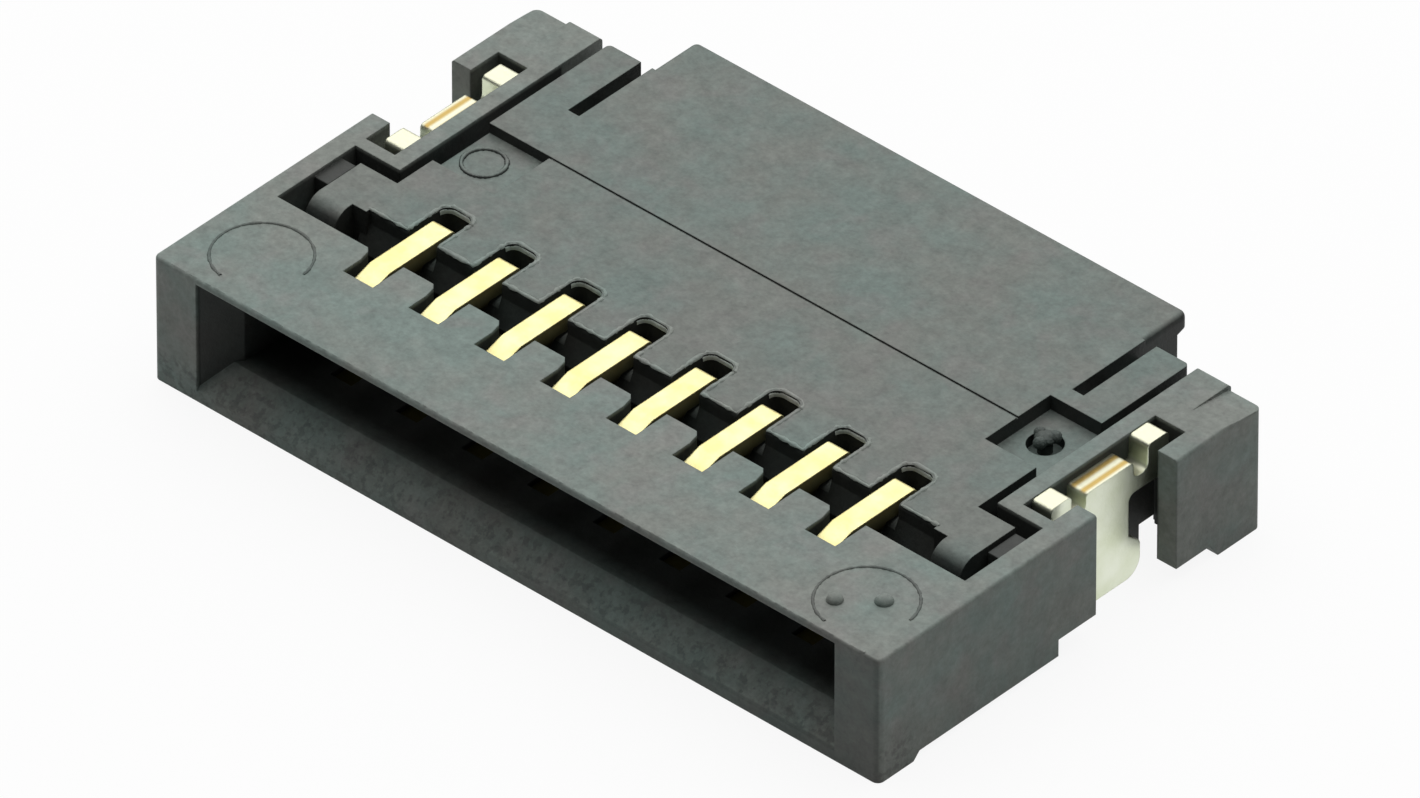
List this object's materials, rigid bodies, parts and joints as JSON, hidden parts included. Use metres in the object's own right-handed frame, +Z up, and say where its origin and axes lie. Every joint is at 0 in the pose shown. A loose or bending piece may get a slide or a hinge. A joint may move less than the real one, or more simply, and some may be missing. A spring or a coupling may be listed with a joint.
{
  "type": "fpc connector",
  "caption": "Low-profile board connector for a flat flexible cable, with a back-flip locking actuator over a row of gold contacts.",
  "frame": {"origin": "on the board under the middle of the connector's outline with the actuator closed", "axes": "+X along the contact row, +Y from the cable mouth to the rear, +Z up from the board"},
  "size_m": [0.0054, 0.0036, 0.0009],
  "materials": {
    "housing_plastic": "matt, lightly mottled moulding",
    "actuator_plastic": "matt, lightly mottled moulding",
    "gold_plate": "gold plating on stamped copper alloy",
    "tin_plate": "bright tin plating on stamped copper alloy"
  },
  "bodies": {
    "base": {"housing": "housing_plastic", "contact_1": "gold_plate", "contact_2": "gold_plate", "contact_3": "gold_plate", "contact_4": "gold_plate", "contact_5": "gold_plate", "contact_6": "gold_plate", "contact_7": "gold_plate", "contact_8": "gold_plate", "solder_tab_left": "tin_plate", "solder_tab_right": "tin_plate"},
    "lever": {"actuator": "actuator_plastic"}
  },
  "joints": [
    {"name": "actuator_flip", "type": "hinge", "parent": "base", "child": "lever", "pos_m": [0, -0.00059, 0.00059], "axis": [1, 0, 0], "range_deg": [0, 95]}
  ]
}
